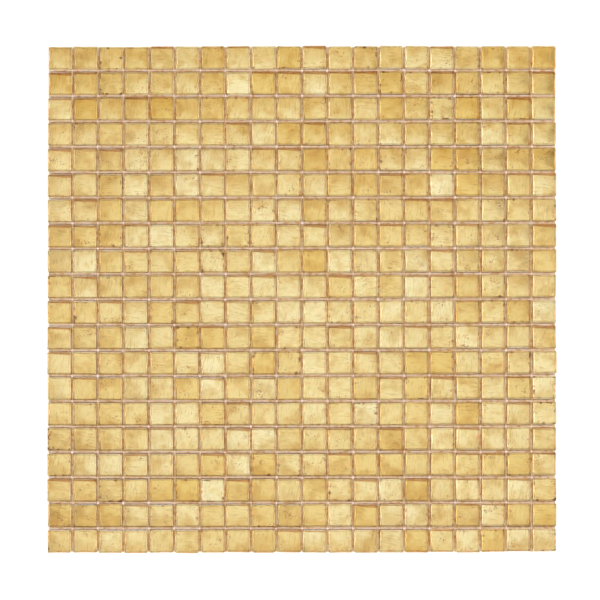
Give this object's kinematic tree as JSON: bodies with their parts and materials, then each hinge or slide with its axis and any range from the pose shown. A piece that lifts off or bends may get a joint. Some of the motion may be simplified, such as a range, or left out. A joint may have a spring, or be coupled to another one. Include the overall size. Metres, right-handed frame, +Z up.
{
  "type": "mosaic tile sheet",
  "caption": "Flat square sheet of gold-leaf glass mosaic tiles laid in a straight grid, bonded by their backs to a glass-fibre net.",
  "frame": {"origin": "under the middle of the sheet, in the plane of the net's underside", "axes": "+Z up out of the tiles' faces, +X along the rows to the right in the picture, +Y towards the picture's top edge"},
  "size_m": [0.3261, 0.3249, 0.0045],
  "materials": {
    "gold_glass": "clear fire-polished glass over gold leaf, opaque, glossy face, slightly wavy",
    "net_yarn": "white glass-fibre yarn, flattened and sized, with traces of pale adhesive"
  },
  "bodies": {
    "root": {"tile_row_01": "gold_glass", "tile_row_02": "gold_glass", "tile_row_03": "gold_glass", "tile_row_04": "gold_glass", "tile_row_05": "gold_glass", "tile_row_06": "gold_glass", "tile_row_07": "gold_glass", "tile_row_08": "gold_glass", "tile_row_09": "gold_glass", "tile_row_10": "gold_glass", "tile_row_11": "gold_glass", "tile_row_12": "gold_glass", "tile_row_13": "gold_glass", "tile_row_14": "gold_glass", "tile_row_15": "gold_glass", "tile_row_16": "gold_glass", "tile_row_17": "gold_glass", "tile_row_18": "gold_glass", "tile_row_19": "gold_glass", "tile_row_20": "gold_glass", "net_warp": "net_yarn", "net_weft": "net_yarn"}
  },
  "joints": []
}
